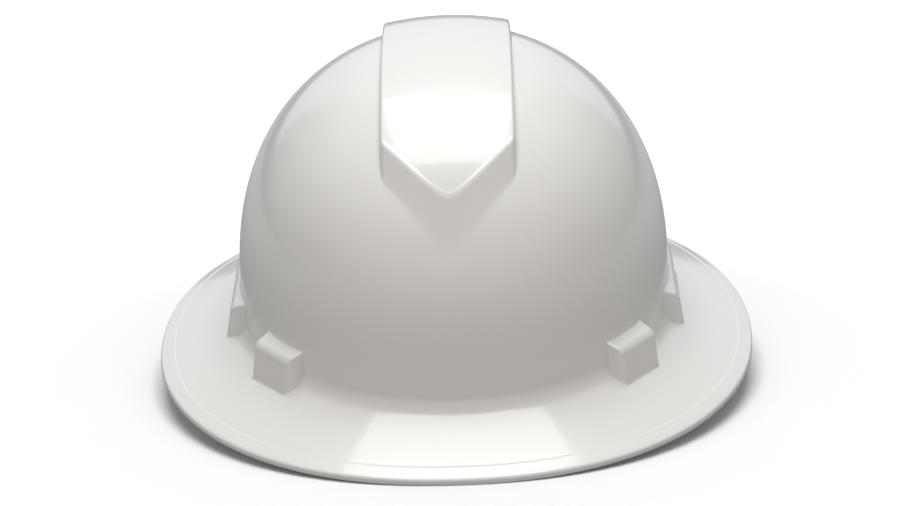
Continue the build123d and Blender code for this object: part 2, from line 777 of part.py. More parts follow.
brow_pad = pad(front_centre_y, band_radius - band_thickness / 2 - pad_gap, -right_angle,
               brow_pad_half_angle_share * right_angle, brow_pad_bottom, brow_pad_top)
brow_pad.label = "brow_pad"
export_step(brow_pad, "parts/brow_pad.step")
nape_half_angle = math.degrees(housing_half_angle - nape_pad_margin / band_radius)
nape_pad = pad(rear_centre_y, base_face - pad_gap, right_angle, nape_half_angle,
               ratchet_height - housing_half_height + nape_pad_margin,
               ratchet_height + housing_half_height - nape_pad_margin)
nape_pad.label = "nape_pad"
export_step(nape_pad, "parts/nape_pad.step")
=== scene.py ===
import math
from collections import namedtuple

import bpy
import numpy as np
from mathutils import Matrix, Vector


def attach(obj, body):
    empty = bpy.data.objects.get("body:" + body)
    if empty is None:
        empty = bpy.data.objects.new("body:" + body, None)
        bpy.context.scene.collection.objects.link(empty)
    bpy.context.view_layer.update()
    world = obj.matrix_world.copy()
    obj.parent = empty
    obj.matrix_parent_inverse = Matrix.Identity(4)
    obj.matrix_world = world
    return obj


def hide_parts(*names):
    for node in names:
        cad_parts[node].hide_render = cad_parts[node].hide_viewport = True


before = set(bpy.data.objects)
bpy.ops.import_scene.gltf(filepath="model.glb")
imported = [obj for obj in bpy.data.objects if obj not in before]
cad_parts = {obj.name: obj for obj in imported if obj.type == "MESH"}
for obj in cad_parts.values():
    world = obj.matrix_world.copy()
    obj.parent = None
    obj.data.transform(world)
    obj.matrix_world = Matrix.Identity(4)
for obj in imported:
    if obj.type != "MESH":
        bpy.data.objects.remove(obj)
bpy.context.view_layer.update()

# Full brim hard hat. Lengths are millimetres as worn, where no comment says metres: X = 0 is the plane of
# symmetry, -Y is the front, +Z is up, and Z = 0 is the level of the brim's lower edge. In a name, SIDE is half a
# width and ENDS half a length.
MM = 0.001

# Dome: an ellipse in plan and a superellipse in profile, flared below its widest level
DOME_SIDE = 104.2
DOME_ENDS = 124.2
DOME_WIDEST = 39.0
DOME_RISE = 112.6
DOME_POWER = 2.25
DOME_FLARE = 0.05
FLARE_SOFTNESS = 5.0
WALL = 2.2

# Brim: a superellipse in plan that slopes from BRIM_TOP at the dome to BRIM_EDGE, with a fine rise along its band
BRIM_SIDE = 145.0
BRIM_ENDS = 161.2
BRIM_POWER = 2.15
BRIM_TOP = 20.5
BRIM_EDGE = 2.3
BRIM_FILLET = 4.5
RIM_BAND = 6.6
RIM_RISE = 0.3
RIM_RISE_WIDTH = 0.7
RIM_ROUND = 1.7
# Rows of the rim's foot: distance from the rim, height, and whether the row looks down
RIM_FOOT_ROWS = ((0.0, 0.3, 0.0), (0.3, 0.0, 1.0), (1.0, 0.0, 1.0))
JUNCTION_SIDE = DOME_SIDE + DOME_FLARE * (DOME_WIDEST - BRIM_TOP)
JUNCTION_ENDS = DOME_ENDS + DOME_FLARE * (DOME_WIDEST - BRIM_TOP)

# Ridge: its top is a wider, flatter dome, and it sinks into the real one below RIDGE_LOW_LEVEL
RIDGE_SIDE = 30.8
RIDGE_HEIGHT = 4.4
RIDGE_FLATNESS = 15.0
RIDGE_LOW_LEVEL = 93.0
RIDGE_LOW_FADE = 0.014
RIDGE_EDGE_ROUND = 1.3
RIDGE_END_ROUND = 0.22
RIDGE_CORNER_ROUND = 2.0
RIDGE_FOOT_ROUND = 0.5
# V face at each end: its y at RIDGE_END_LEVEL as 1, x and x squared, and its lean outwards going down, as 1 and x
RIDGE_END_LEVEL = 110.0
RIDGE_END_PLAN = (107.28, -0.203, -0.0081)
RIDGE_END_LEAN = (0.375, 0.00763)
RIDGE_TIP_SOFTNESS = 3.3
# Fine lip along the V's upper edge: height, width and distance from the face
RIDGE_LIP = 0.33
RIDGE_LIP_WIDTH = 0.62
RIDGE_LIP_PLACE = 0.55

# Sockets: x and y of the outer face's foot, the face's turn from the Y axis, the width, the depth of the block,
# the flare of its sides and the slope of its top
Socket = namedtuple("Socket", "face_x face_y turn width depth flare slope")
FRONT_SOCKET = Socket(87.6, 87.1, math.radians(52.6), 26.5, 13.0, 0.13, 0.34)
SIDE_SOCKET = Socket(110.4, 0.0, math.radians(90), 64.0, 11.5, 0.4, 0.36)
SOCKET_FOOT = 16.0
SOCKET_DRAFT = 0.17
SOCKET_SHOULDER = 33.4
SOCKET_SHOULDER_ROUND = 2.2
SOCKET_EDGE_ROUND = 0.9
SOCKET_FOOT_ROUND = 0.35

# Shell's mesh: rays from one point through a grid of columns and rows, which are close together at the sockets
# and the ridge
RAY_START = np.array((0.0, 0.0, -45.0))
RAY_RANGE = (0.82, 1.25)
RAY_HALVINGS = 26
NORMAL_STEP = 0.02
SPACING_SAMPLES = 4000
COARSE_STEP, FINE_STEP = ((2.4, 0.75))
INNER_STEP = FINE_STEP * 1.6
INNER_RIM_INSET = 1.0
FINE_FRONT_MARGIN = 3.0
FINE_SIDE_MARGIN = 1.0
FINE_RIDGE_REACH = RIDGE_SIDE * 3.2
FINE_SOCKET_LEVEL = SOCKET_SHOULDER + 14
FINE_RIDGE_LEVEL = 82.0
FINE_RIDGE_SHARE = 0.22
FIRST_DOME_ROW = BRIM_TOP + 0.3
PROFILE_START = 0.0005
PROFILE_END = math.pi / 2 - 0.012
PROFILE_STEP = 1e-4
CAP_RISE = 0.02
# Rows of the brim: distances from the rim before and across the band's edge, then steps at the rim's side and
# halfway, and the width that they are meant for
RIM_ROWS = (0.0, 1.5, 3.5)
BAND_ROWS = (-1, -0.32, -0.28, 0, 0.28, 0.32, 1, 3, 7, 12)
BRIM_STEPS = (2.2, 1.0)
BRIM_STEPS_WIDTH = 26
RIM_ROUND_ROWS = 8

# Crown straps: the level of the keys' bars, the radius of the loops, and the flaps' length and the share of it
# over which a flap comes up to the strap
STRAP_WIDTH = 19.0
STRAP_THICKNESS = 1.1
STRAP_ROUND = STRAP_THICKNESS * 0.42
STRAP_BAR_LEVEL = 35.4
STRAP_LOOP = 3.05
STRAP_FLAP = 15.0
STRAP_FLAP_CLOSE = 0.45
STRAP_FLAP_SPACE = STRAP_THICKNESS * 1.05
STRAP_RIB = 0.16
STRAP_RIB_PITCH = 2.6
STRAP_RIB_SAMPLES = 41
STRAP_FLAP_ROWS, STRAP_LOOP_ROWS, STRAP_ARCH_ROWS = 24, 25, 70
WEAVE_PITCH = (1.9, 1.3)
# x and y of the bar at one end of each strap, and the height of its crown over the bars
STRAPS = {
    "crown_strap_side": (96.2, 0.0, 80.6),
    "crown_strap_left": (-75.1, -72.6, 82.1),
    "crown_strap_right": (75.1, -72.6, 83.6),
}

# Stitches: points along and thickness at them as shares, and sides; then pitch, gap at each end, radius and height
STITCH_ROWS = ((0.0, 0.0), (0.06, 0.62), (0.2, 0.95), (0.5, 1.0), (0.8, 0.95), (0.94, 0.62), (1.0, 0.0))
STITCH_SIDES = 8
STITCH_SUNK = 0.35
STITCH_CROWN = 0.5
Sewing = namedtuple("Sewing", "pitch gap radius flat")
STRAP_SEWING = Sewing(2.5, 0.12, 0.3, 0.24)
PAD_SEWING = Sewing(2.8, 0.14, 0.28, 0.2)
# Sewn box on a strap: lower and upper end as shares of the flap, distance from the strap's edges, and the depth of
# its outer stitches in strap thicknesses
BOX_LOW, BOX_HIGH = 0.42, 0.93
BOX_MARGIN = 2.6
BOX_INNER_FACE, BOX_OUTER_FACE = 0.5, 1.55

# Pads: thickness in the middle and at the sewn edge, and the hem outside the seam
PAD_THICKNESS = 4.0
PAD_EDGE = 1.3
PAD_HEM = 2.0
PAD_SEAM_PLACE = 0.6
PAD_SHOULDER = 3.0
PAD_SHOULDER_POWER = 1.2
PAD_CORNER = 9.0
PAD_CORNER_SHARE = 0.8
PAD_STEP = 0.9
PAD_MIN_COLUMNS, PAD_MIN_ROWS = 60, 24
PAD_ROW_EASE = 0.35
PAD_CHANNEL_WIDTH = 1.3
PAD_CHANNEL_DEPTH = 0.72
PAD_PUCKER = 0.12
PAD_PUCKER_PLACE = 1.2
PAD_PUCKER_WIDTH = 1.6
PAD_ROLL = 0.5
PAD_ROLL_SHARE = 0.35
PAD_BACK_GAP = 0.02
PAD_BACK_ROLL = 0.3
# y of the arc's centre, side of it, outer radius, half angle, bottom, top and the sewn channels' places
Pad = namedtuple("Pad", "name body centre_y facing radius half_angle bottom top channels")
PADS = (
    Pad("brow_pad", "band", -19.0, -1, 78.95, math.radians(46), 5.0, 39.0, (-0.66, -0.24, 0.24, 0.66)),
    Pad("nape_pad", "nape", 24.67, 1, 75.9, math.radians(19.8), -25.7, -2.3, (-0.36, 0.36)),
)

# Photograph's camera, fitted to the dome and brim
PHOTO_WIDTH = 900
PHOTO_HEIGHT = 506
CAMERA_DISTANCE = 1500.0
PIXELS_PER_MM = 2.0556
CAMERA_ELEVATION = math.radians(22.52)
CAMERA_YAW = math.radians(0.68)
CAMERA_ROLL = math.radians(2.01)
TARGET_LEVEL = 60.0
TARGET_PIXEL = (452.4, 222.6)
SENSOR = 36.0
CLIP_END = 50  # metres

# Stance: the hat rests on the brim's front, which is at Z = 0, and on the knob
REST_FRONT = -BRIM_ENDS
REST_KNOB_Y = 118.0
REST_KNOB_Z = -29.9

# Room: its radiance at the sides, in front and high up, and its tint
ROOM_LIGHT = 0.17
FRONT_LIGHT = 0.88
FRONT_FADE = (0.1, -1.0)
UPPER_LIGHT = 0.45
UPPER_FADE = (0.25, 0.75)
ROOM_TINT = (1.0, 0.945, 0.905)
UNDER_FADE = (0.0, -0.03)
# White sweep behind the hat: radiance low and high, the heights between, half its width and its soft edge
SWEEP_LIGHT = 0.75
SWEEP_TOP_LIGHT = 0.58
SWEEP_TOP_FADE = (0.05, 0.4)
SWEEP_SPREAD = 0.68
SWEEP_EDGE = (-0.1, 0.12)
# Softbox overhead, in metres
SOFTBOX_LIGHT = 4.6
SOFTBOX_HEIGHT = 1.5
SOFTBOX_SIZE = (0.98, 1.16)
SOFTBOX_BACK = 0.2
# Lights below the floor, which only the hat's underside sees: depth and size in metres, radiance and spread
UNDERLIGHTS = (("brim_underlight", 0.7, 1.0, 0.14, 180), ("inside_light", 0.4, 0.15, 2.6, 18))
# Floor: its tone and its glow, which grows over distances in metres, and both as the hat sees them
FLOOR_SIDE = 2600.0
FLOOR_TONE = 0.96
FLOOR_ROUGHNESS = 0.9
FLOOR_GLOW = 0.6
FLOOR_GLOW_FADE = (0.2, 0.7)
FLOOR_BOUNCE = 0.27
FLOOR_GLOW_BOUNCE = 0.4


# Shell's shape as a signed distance, negative inside

def round_and(a, b, radius):
    """Distance to what is in both shapes, with the edge rounded."""
    reach = np.hypot(np.maximum(a + radius, 0), np.maximum(b + radius, 0))
    return np.minimum(-radius, np.maximum(a, b)) + reach


def round_or(a, b, radius):
    """Distance to what is in either shape, with the corner filled."""
    reach = np.hypot(np.maximum(radius - a, 0), np.maximum(radius - b, 0))
    return np.maximum(radius, np.minimum(a, b)) - reach


def dome_distance(x, y, z, side, ends, rise):
    """Distance to a dome whose plan is an ellipse and whose profile is a superellipse."""
    drop = DOME_WIDEST - z
    flare = DOME_FLARE * (np.sqrt(drop ** 2 + FLARE_SOFTNESS ** 2) + drop) / 2
    a, b = side + flare, ends + flare
    plan = np.sqrt((x / a) ** 2 + (y / b) ** 2) + 1e-9
    up = np.maximum(-drop / rise, 0)
    level = (plan ** DOME_POWER + up ** DOME_POWER) ** (1 / DOME_POWER)
    shared = level ** (1 - DOME_POWER)
    across = shared * plan ** (DOME_POWER - 2) * np.sqrt((x / a ** 2) ** 2 + (y / b ** 2) ** 2)
    along = shared * up ** (DOME_POWER - 1) / rise
    return (level - 1) / np.sqrt(across ** 2 + along ** 2)


def ridge_distance(x, y, z):
    """Distance to the ridge over the crown, with a V at each end."""
    over = dome_distance(x, y, z, DOME_SIDE + RIDGE_FLATNESS + RIDGE_HEIGHT, DOME_ENDS + RIDGE_HEIGHT,
                         DOME_RISE + RIDGE_HEIGHT)
    soft_x = np.sqrt(x ** 2 + RIDGE_TIP_SOFTNESS ** 2)
    reach, turn, bow = RIDGE_END_PLAN
    lean = RIDGE_END_LEAN[0] + RIDGE_END_LEAN[1] * soft_x
    drop = RIDGE_END_LEVEL - z
    slant = turn + 2 * bow * soft_x + RIDGE_END_LEAN[1] * drop
    end = np.abs(y) - reach - turn * soft_x - bow * soft_x ** 2 - lean * drop
    end = end / np.sqrt(1 + slant ** 2 + lean ** 2)
    over = over - RIDGE_LIP * np.exp(-((end + RIDGE_LIP_PLACE) / RIDGE_LIP_WIDTH) ** 2)
    sides = round_and(np.abs(x) - RIDGE_SIDE, end, RIDGE_CORNER_ROUND)
    ridge = round_and(round_and(over, end, RIDGE_END_ROUND), sides, RIDGE_EDGE_ROUND)
    return ridge + RIDGE_LOW_FADE * np.maximum(RIDGE_LOW_LEVEL - z, 0) ** 2


def socket_distance(x, y, z, form):
    """Distance to all sockets of one form, which have flared sides and a sloped top."""
    if form.face_y:
        from_x, from_y = np.abs(x) - form.face_x, np.abs(y) - form.face_y
        out = from_x * math.sin(form.turn) + from_y * math.cos(form.turn)
        along = np.abs(from_x * math.cos(form.turn) - from_y * math.sin(form.turn))
    else:
        out = np.abs(x) - form.face_x
        along = np.abs(y)
    face = (out + SOCKET_DRAFT * (z - SOCKET_FOOT)) / math.hypot(1, SOCKET_DRAFT)
    side = (along - form.width / 2 + form.flare * out) / math.hypot(1, form.flare)
    shoulder = -SOCKET_DRAFT * (SOCKET_SHOULDER - SOCKET_FOOT)
    top = (z - SOCKET_SHOULDER + form.slope * (out - shoulder)) / math.hypot(1, form.slope)
    block = round_and(round_and(face, top, SOCKET_SHOULDER_ROUND), side, SOCKET_EDGE_ROUND)
    return np.maximum(block, -form.depth - out)


def outline_radius(azimuth, side, ends, power):
    """Distance from the axis to a level superellipse, in a direction."""
    across = np.abs(np.cos(azimuth) / side) ** power + np.abs(np.sin(azimuth) / ends) ** power
    return across ** (-1 / power)


def brim_distance(x, y, z):
    """Distance to the brim's top, as a solid that fills the hat below it."""
    azimuth = np.arctan2(y, x)
    inner = outline_radius(azimuth, JUNCTION_SIDE, JUNCTION_ENDS, 2)
    outer = outline_radius(azimuth, BRIM_SIDE, BRIM_ENDS, BRIM_POWER)
    radius = np.hypot(x, y)
    slope = (BRIM_TOP - BRIM_EDGE) / (outer - inner)
    band = np.clip((RIM_BAND - outer + radius) / RIM_RISE_WIDTH + 0.5, 0, 1)
    height = BRIM_TOP - slope * (radius - inner) + RIM_RISE * band
    return (z - height) / np.sqrt(1 + slope ** 2)


def shell_distance(points):
    """Distance to the shell's outer surface, as one solid without its hollow."""
    x, y, z = points[..., 0], points[..., 1], points[..., 2]
    whole = dome_distance(x, y, z, DOME_SIDE, DOME_ENDS, DOME_RISE)
    whole = round_or(whole, ridge_distance(x, y, z), RIDGE_FOOT_ROUND)
    whole = round_or(whole, brim_distance(x, y, z), BRIM_FILLET)
    for form in (FRONT_SOCKET, SIDE_SOCKET):
        whole = round_or(whole, socket_distance(x, y, z, form), SOCKET_FOOT_ROUND)
    return whole


# Shell's mesh: columns run from the rim to the crown, rows run round the hat

def spaced(low, high, spacing):
    """Values from low to high whose steps follow a spacing function."""
    fine = np.linspace(low, high, SPACING_SAMPLES)
    steps = np.concatenate(([0], np.cumsum(np.diff(fine) / spacing((fine[1:] + fine[:-1]) / 2))))
    count = max(2, int(round(steps[-1])) + 1)
    return np.interp(np.linspace(0, steps[-1], count), steps, fine)


def column_azimuths():
    """Directions of the columns, mirrored round the hat from a quarter turn."""
    side_end = SIDE_SOCKET.width / 2 + SIDE_SOCKET.flare * SIDE_SOCKET.depth / 2
    fine_stretches = (
        (math.atan2(FRONT_SOCKET.face_y, FRONT_SOCKET.face_x),
         FRONT_SOCKET.width / 2 + FRONT_SOCKET.flare * FRONT_SOCKET.depth + FINE_FRONT_MARGIN),
        (math.atan2(side_end, SIDE_SOCKET.face_x), SIDE_SOCKET.flare * SIDE_SOCKET.depth + FINE_SIDE_MARGIN),
        (math.pi / 2, FINE_RIDGE_REACH),
    )

    def spacing(azimuth):
        radius = outline_radius(azimuth, DOME_SIDE, DOME_ENDS, 2)
        step = np.full_like(azimuth, COARSE_STEP)
        for middle, half in fine_stretches:
            step = np.where(np.abs(azimuth - middle) * radius < half, FINE_STEP, step)
        return step / radius

    quarter = spaced(0, math.pi / 2, spacing)
    half_turn = np.concatenate((quarter, (math.pi - quarter[:-1])[::-1]))
    return np.concatenate((half_turn[:-1], half_turn[:-1] + math.pi))


def dome_rows(fine, inset):
    """Heights and shares of the plan's radius for rows on the dome, from its foot to near the crown."""
    rise = DOME_RISE - inset

    def profile(angle):
        return np.sin(angle) ** (2 / DOME_POWER), np.cos(angle) ** (2 / DOME_POWER)

    def spacing(angle):
        up, out = profile(angle)
        up_ahead, out_ahead = profile(angle + PROFILE_STEP)
        height = DOME_WIDEST + rise * up
        by_ridge = (height > FINE_RIDGE_LEVEL) & (out > FINE_RIDGE_SHARE)
        step = np.where((height < FINE_SOCKET_LEVEL) | by_ridge, fine, COARSE_STEP)
        return step * PROFILE_STEP / np.hypot((up_ahead - up) * rise, (out_ahead - out) * DOME_SIDE)

    upright = spaced(FIRST_DOME_ROW, DOME_WIDEST, lambda height: np.full_like(height, fine))[:-1]
    rows = [(height, 1.0) for height in upright]
    for angle in spaced(PROFILE_START, PROFILE_END, spacing):
        up, out = profile(angle)
        rows.append((DOME_WIDEST + rise * up, out))
    return rows


def base_grid(azimuths, fine, inset, rim_inset):
    """Points near the surface, row by row from the rim to the crown, for rays to pass through."""
    inner = outline_radius(azimuths, JUNCTION_SIDE - inset, JUNCTION_ENDS - inset, 2)
    outer = outline_radius(azimuths, BRIM_SIDE, BRIM_ENDS, BRIM_POWER) - rim_inset

    def brim_row(radius):
        share = (radius - inner) / (outer + rim_inset - inner)
        return radius, BRIM_TOP - (BRIM_TOP - BRIM_EDGE) * share - inset

    rows = [brim_row(outer - step) for step in RIM_ROWS]
    rows += [brim_row(outer - (RIM_BAND - rim_inset + step)) for step in BAND_ROWS]
    last = RIM_BAND - rim_inset + BAND_ROWS[-1]
    gap = outer - last - inner
    steps = (*BRIM_STEPS, fine)
    for share in spaced(0, 1, lambda way: np.interp(way, (0, 0.5, 1), steps) / BRIM_STEPS_WIDTH)[1:]:
        rows.append(brim_row(outer - last - gap * share))
    for height, share in dome_rows(fine, inset):
        flare = DOME_FLARE * max(DOME_WIDEST - height, 0)
        radius = outline_radius(azimuths, (DOME_SIDE - inset + flare) * share,
                                (DOME_ENDS - inset + flare) * share, 2)
        rows.append((radius, height))
    grid = np.empty((len(rows), len(azimuths), 3))
    for index, (radius, height) in enumerate(rows):
        grid[index, :, 0] = radius * np.cos(azimuths)
        grid[index, :, 1] = radius * np.sin(azimuths)
        grid[index, :, 2] = height
    return grid


def project(grid, level):
    """Moves each point along its ray to where the shell's distance is level."""
    way = grid - RAY_START
    low, high = (np.full(grid.shape[:2], end) for end in RAY_RANGE)
    for _ in range(RAY_HALVINGS):
        middle = (low + high) / 2
        inside = shell_distance(RAY_START + way * middle[..., None]) < level
        low = np.where(inside, middle, low)
        high = np.where(inside, high, middle)
    return RAY_START + way * ((low + high) / 2)[..., None]


def distance_normals(points):
    """Unit normals of the shell's distance."""
    normals = np.empty_like(points)
    for axis in range(3):
        move = np.zeros(3)
        move[axis] = NORMAL_STEP
        normals[..., axis] = shell_distance(points + move) - shell_distance(points - move)
    return normals / np.linalg.norm(normals, axis=-1, keepdims=True)


def rim_grid(azimuths, outer_edge, inner_edge):
    """Rows and normals of the rolled rim, from the outer surface's edge to the inner one's."""
    radius = outline_radius(azimuths, BRIM_SIDE, BRIM_ENDS, BRIM_POWER)
    plan = np.stack((radius * np.cos(azimuths), radius * np.sin(azimuths)), axis=-1)
    tangent = np.roll(plan, -1, axis=0) - np.roll(plan, 1, axis=0)
    out = np.stack((tangent[:, 1], -tangent[:, 0]), axis=-1)
    out /= np.linalg.norm(out, axis=-1, keepdims=True)
    rows = []
    for turn in np.linspace(0, math.pi / 2, RIM_ROUND_ROWS):
        height = outer_edge[:, 2] - RIM_ROUND * (1 - math.cos(turn))
        rows.append((RIM_ROUND * (1 - math.sin(turn)), height, math.sin(turn), math.cos(turn)))
    rows += [(inset, height, 1 - down, -down) for inset, height, down in RIM_FOOT_ROWS]
    points = np.empty((len(rows), len(azimuths), 3))
    normals = np.empty_like(points)
    for index, (inset, height, outward, upward) in enumerate(rows):
        points[index, :, :2] = plan - out * inset
        points[index, :, 2] = height
        normals[index, :, :2] = out * outward
        normals[index, :, 2] = upward
    points[0] = outer_edge
    points[-1] = inner_edge
    return points, normals


def closed_rows(grid, start, flip):
    """Faces between the rows of a grid that closes on itself."""
    rows, columns = grid.shape[:2]
    index = start + np.arange(rows * columns).reshape(rows, columns)
    ahead = np.roll(index, -1, axis=1)
    faces = np.stack((index[:-1], ahead[:-1], ahead[1:], index[1:]), axis=-1).reshape(-1, 4)
    return faces[:, ::-1] if flip else faces


def mesh_object(name, points, faces, material, normals=None):
    """Smooth mesh object from points in millimetres."""
    mesh = bpy.data.meshes.new(name)
    mesh.from_pydata((np.asarray(points) * MM).tolist(), [], [list(map(int, face)) for face in faces])
    mesh.shade_smooth()
    if normals is not None:
        mesh.normals_split_custom_set_from_vertices(np.asarray(normals).tolist())
    mesh.materials.append(material)
    obj = bpy.data.objects.new(name, mesh)
    bpy.context.scene.collection.objects.link(obj)
    return obj


def shell_object(material):
    """The whole shell: outer surface, inner surface, rolled rim and a cap on each surface at the crown."""
    azimuths = column_azimuths()
    count = len(azimuths)
    outer = project(base_grid(azimuths, FINE_STEP, 0, RIM_ROUND), 0)
    inner = project(base_grid(azimuths, INNER_STEP, WALL, INNER_RIM_INSET), -WALL)
    inner[0, :, 2] = 0.0
    rim, rim_normals = rim_grid(azimuths, outer[0], inner[0])
    blocks = ((outer, distance_normals(outer), False), (inner, -distance_normals(inner), True),
              (rim, rim_normals, True))
    points = [grid.reshape(-1, 3) for grid, _, _ in blocks]
    normals = [grid_normals.reshape(-1, 3) for _, grid_normals, _ in blocks]
    faces, caps = [], []
    start = 0
    for grid, _, flip in blocks:
        faces += closed_rows(grid, start, flip).tolist()
        start += len(grid) * count
        caps.append((start - count, grid[-1, :, 2].mean(), flip))
    centre = start
    for first, height, flip in caps[:2]:
        facing = -1 if flip else 1
        points.append([[0, 0, height + CAP_RISE * facing]])
        normals.append([[0, 0, facing]])
        for step in range(count):
            face = [first + step, first + (step + 1) % count, centre]
            faces.append(face[::-1] if flip else face)
        centre += 1
    return mesh_object("shell_surface", np.concatenate(points), faces, material, np.concatenate(normals))


# Materials

def math_node(tree, operation, *values):
    """Output of a node that works out one sum from numbers and outputs."""
    node = tree.nodes.new("ShaderNodeMath")
    node.operation = operation
    for index, value in enumerate(values):
        if isinstance(value, float):
            node.inputs[index].default_value = value
        else:
            tree.links.new(value, node.inputs[index])
    return node.outputs["Value"]


def map_range(tree, value, start, end, low=0.0, high=1.0, smooth=False):
    """Output of a node that turns start and end into low and high."""
    node = tree.nodes.new("ShaderNodeMapRange")
    if smooth:
        node.interpolation_type = "SMOOTHSTEP"
    for key, number in (("From Min", start), ("From Max", end), ("To Min", low), ("To Max", high)):
        node.inputs[key].default_value = number
    tree.links.new(value, node.inputs["Value"])
    return node.outputs["Result"]


def tone_mix(tree, factor, first, second):
    """Output of a node that mixes two tones, each a colour or an output."""
    node = tree.nodes.new("ShaderNodeMix")
    node.data_type = "RGBA"
    tree.links.new(factor, node.inputs["Factor"])
    sockets = [socket for socket in node.inputs if socket.type == "RGBA"]
    for socket, value in zip(sockets, (first, second)):
        if isinstance(value, tuple):
            socket.default_value = (*value, 1)
        else:
            tree.links.new(value, socket)
    return next(socket for socket in node.outputs if socket.type == "RGBA")


def add_bump(tree, height, strength, distance):
    """Relief on a principled material, its distance in metres."""
    bump = tree.nodes.new("ShaderNodeBump")
    bump.inputs["Strength"].default_value = strength
    bump.inputs["Distance"].default_value = distance
    tree.links.new(height, bump.inputs["Height"])
    tree.links.new(bump.outputs["Normal"], tree.nodes["Principled BSDF"].inputs["Normal"])


def principled(name, colour, roughness, **inputs):
    """Principled material with its main inputs set."""
    material = bpy.data.materials.new(name)
    material.use_nodes = True
    shader = material.node_tree.nodes["Principled BSDF"]
    shader.inputs["Base Color"].default_value = (*colour, 1)
    shader.inputs["Roughness"].default_value = roughness
    for key, value in inputs.items():
        shader.inputs[key.replace("_", " ").title()].default_value = value
    return material


def grained(name, colour, roughness, scale, strength, distance=0.0002):
    """Material with the fine noise relief of moulded plastic, thread or cloth."""
    material = principled(name, colour, roughness)
    tree = material.node_tree
    coordinates = tree.nodes.new("ShaderNodeTexCoord")
    noise = tree.nodes.new("ShaderNodeTexNoise")
    noise.inputs["Scale"].default_value = scale
    noise.inputs["Detail"].default_value = 3
    tree.links.new(coordinates.outputs["Object"], noise.inputs["Vector"])
    add_bump(tree, noise.outputs["Fac"], strength, distance)
    return material


def woven(name, colour, painted_highlight_colour, roughness, strength, distance=0.0002):
    """Material with a plain weave's relief and painted highlight that makes the raised threads lighter than the
    hollows, from a strap's lengths in millimetres.
    """
    material = principled(name, colour, roughness)
    tree = material.node_tree
    lengths = tree.nodes.new("ShaderNodeUVMap")
    lengths.uv_map = "weave"
    scale = tree.nodes.new("ShaderNodeVectorMath")
    scale.operation = "MULTIPLY"
    scale.inputs[1].default_value = (math.pi / WEAVE_PITCH[0], math.pi / WEAVE_PITCH[1], 0)
    waves = tree.nodes.new("ShaderNodeVectorMath")
    waves.operation = "SINE"
    split = tree.nodes.new("ShaderNodeSeparateXYZ")
    tree.links.new(lengths.outputs["UV"], scale.inputs[0])
    tree.links.new(scale.outputs["Vector"], waves.inputs[0])
    tree.links.new(waves.outputs["Vector"], split.inputs["Vector"])
    both = math_node(tree, "MULTIPLY", split.outputs["X"], split.outputs["Y"])
    # Painted highlight and shade: the weave's raised threads are painted lighter and its hollows darker, following
    # the same height as the bump
    tone = tone_mix(tree, both, colour, painted_highlight_colour)
    tree.links.new(tone, tree.nodes["Principled BSDF"].inputs["Base Color"])
    add_bump(tree, both, strength, distance)
    return material


shell_paint = principled("shell_plastic", (0.81, 0.81, 0.80), 0.30, coat_weight=0.6, coat_roughness=0.07)
suspension = grained("suspension_plastic", (0.022, 0.022, 0.024), 0.42, scale=900, strength=0.25)
band_plastic = grained("band_plastic", (0.02, 0.02, 0.022), 0.38, scale=1200, strength=0.2)
gear_plastic = grained("gear_plastic", (0.62, 0.60, 0.55), 0.4, scale=900, strength=0.15)
# Webbing's second colour is the painted highlight on the weave's raised threads
webbing = woven("webbing", (0.05, 0.052, 0.058), (0.06, 0.062, 0.068), 0.85, strength=0.25)
thread = grained("thread", (0.30, 0.30, 0.29), 0.8, scale=2500, strength=0.4)
pad_cloth = grained("pad_cloth", (0.018, 0.018, 0.02), 0.95, scale=1800, strength=0.8, distance=0.0004)
screw_steel = principled("screw_steel", (0.55, 0.55, 0.56), 0.3, metallic=1.0)

NODE_MATERIALS = {
    "headband": band_plastic, "left_tail": band_plastic, "right_tail": band_plastic,
    "pinion": gear_plastic, "click_spring": gear_plastic, "knob_screw": screw_steel,
    "brow_pad": pad_cloth, "nape_pad": pad_cloth,
    "crown_strap_side": webbing, "crown_strap_left": webbing, "crown_strap_right": webbing,
}
for node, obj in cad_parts.items():
    obj.data.materials.clear()
    obj.data.materials.append(NODE_MATERIALS.get(node, suspension))

shell = shell_object(shell_paint)
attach(shell, "shell")
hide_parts("shell")


# Stitches

def stitch(start, end, square, sewing):
    """Points and faces of one sewn stitch lying on a face."""
    along = end - start
    side = np.cross(along / np.linalg.norm(along), square)
    points, faces = [], []
    for share, scale in STITCH_ROWS:
        for step in range(STITCH_SIDES):
            angle = math.tau * step / STITCH_SIDES
            lift = scale * math.sin(angle) - STITCH_SUNK + STITCH_CROWN * scale
            points.append(start + along * share + side * sewing.radius * scale * math.cos(angle)
                          + square * sewing.flat * lift)
    for first in range(0, len(points) - STITCH_SIDES, STITCH_SIDES):
        for step in range(STITCH_SIDES):
            ahead = (step + 1) % STITCH_SIDES
            faces.append((first + step, first + ahead, first + STITCH_SIDES + ahead, first + STITCH_SIDES + step))
    return points, faces


def stitch_object(name, stitches, sewing):
    """Mesh of stitches, each from one point to the next, with the face's direction."""
    points, faces = [], []
    for ends in stitches:
        more, sides = stitch(*(np.array(end) for end in ends), sewing)
        faces += [tuple(len(points) + index for index in side) for side in sides]
        points += more
    return mesh_object(name, points, faces, thread)


def seam(corners, sewing):
    """Starts and ends of the stitches along a run of straight lines."""
    parts = []
    for first, last in zip(corners[:-1], corners[1:]):
        first, last = np.array(first), np.array(last)
        count = max(1, round(np.linalg.norm(last - first) / sewing.pitch))
        for step in range(count):
            low = first + (last - first) * (step / count)
            high = first + (last - first) * ((step + 1) / count)
            parts.append((low + (high - low) * sewing.gap, high - (high - low) * sewing.gap))
    return parts


# Crown straps

